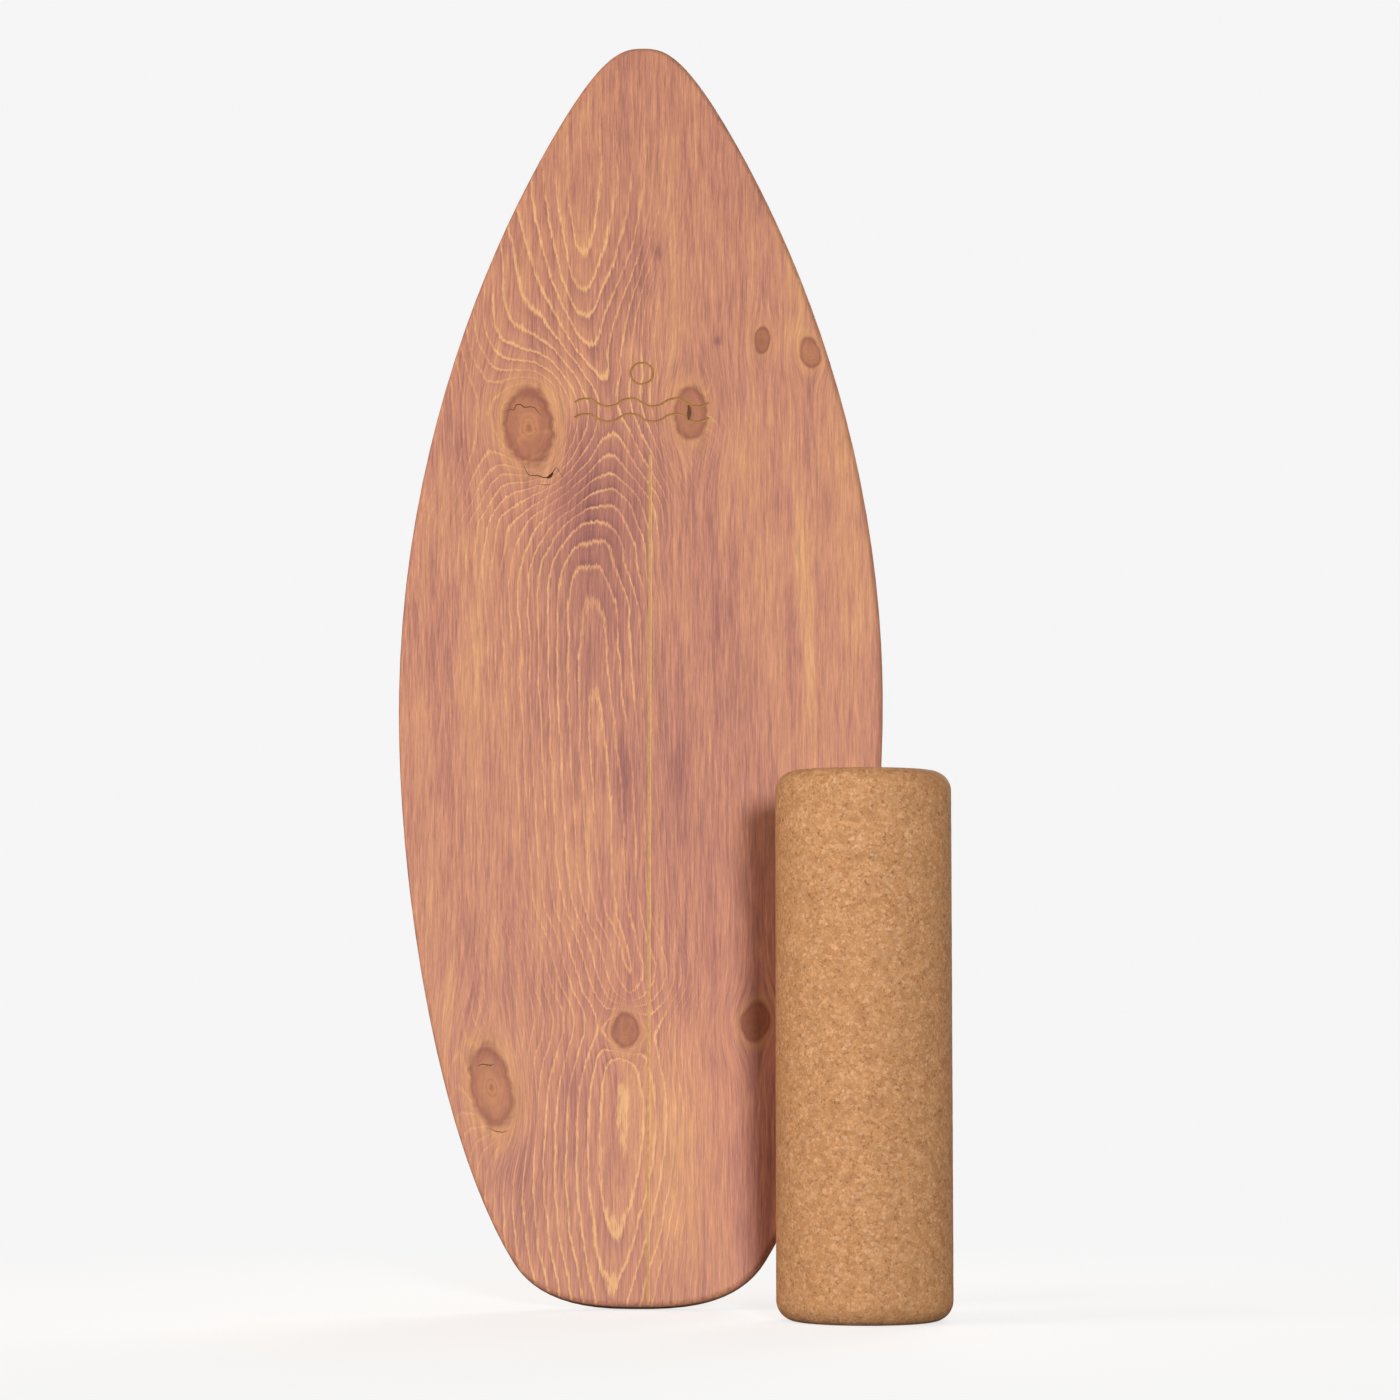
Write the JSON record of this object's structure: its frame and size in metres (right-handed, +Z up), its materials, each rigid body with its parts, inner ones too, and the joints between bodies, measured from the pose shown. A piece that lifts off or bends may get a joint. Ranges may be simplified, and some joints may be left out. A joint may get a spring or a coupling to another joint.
{
  "type": "balance board",
  "caption": "Surf-shaped plywood roller balance board leaning on its tail, deck to the front, with its cork roller standing on end before it.",
  "frame": {"origin": "where the tail's rounded back edge touches the floor, on the board's middle line", "axes": "+Z up, along the leaning board from tail to nose; the deck faces -Y and the nose leans towards +Y; +X is to the right of someone facing the deck"},
  "size_m": [0.331, 0.2787, 0.7918],
  "materials": {
    "deck_stained_wood": "satin stain",
    "ply_crossband": "cut end grain, oiled",
    "ply_long": "cut long grain, oiled",
    "stop_wood": "oiled",
    "screw_steel": "yellow zinc",
    "cork": "agglomerated cork, sanded"
  },
  "bodies": {
    "board": {"deck_face_veneer": "deck_stained_wood", "deck_side_crossband": "ply_crossband", "deck_side_long_ply": "ply_long", "core_crossband": "ply_crossband", "underside_long_ply": "ply_long", "underside_crossband": "ply_crossband", "underside_face_veneer": "ply_long", "nose_stop": "stop_wood", "tail_stop": "stop_wood", "nose_stop_screws": "screw_steel", "tail_stop_screws": "screw_steel"},
    "roller": {"cork_roller": "cork"}
  },
  "joints": [
    {"name": "roller_spin", "type": "hinge", "parent": "board", "child": "roller", "pos_m": [0.131, -0.0955, 0.158], "axis": [0, 0, 1], "continuous": true}
  ]
}
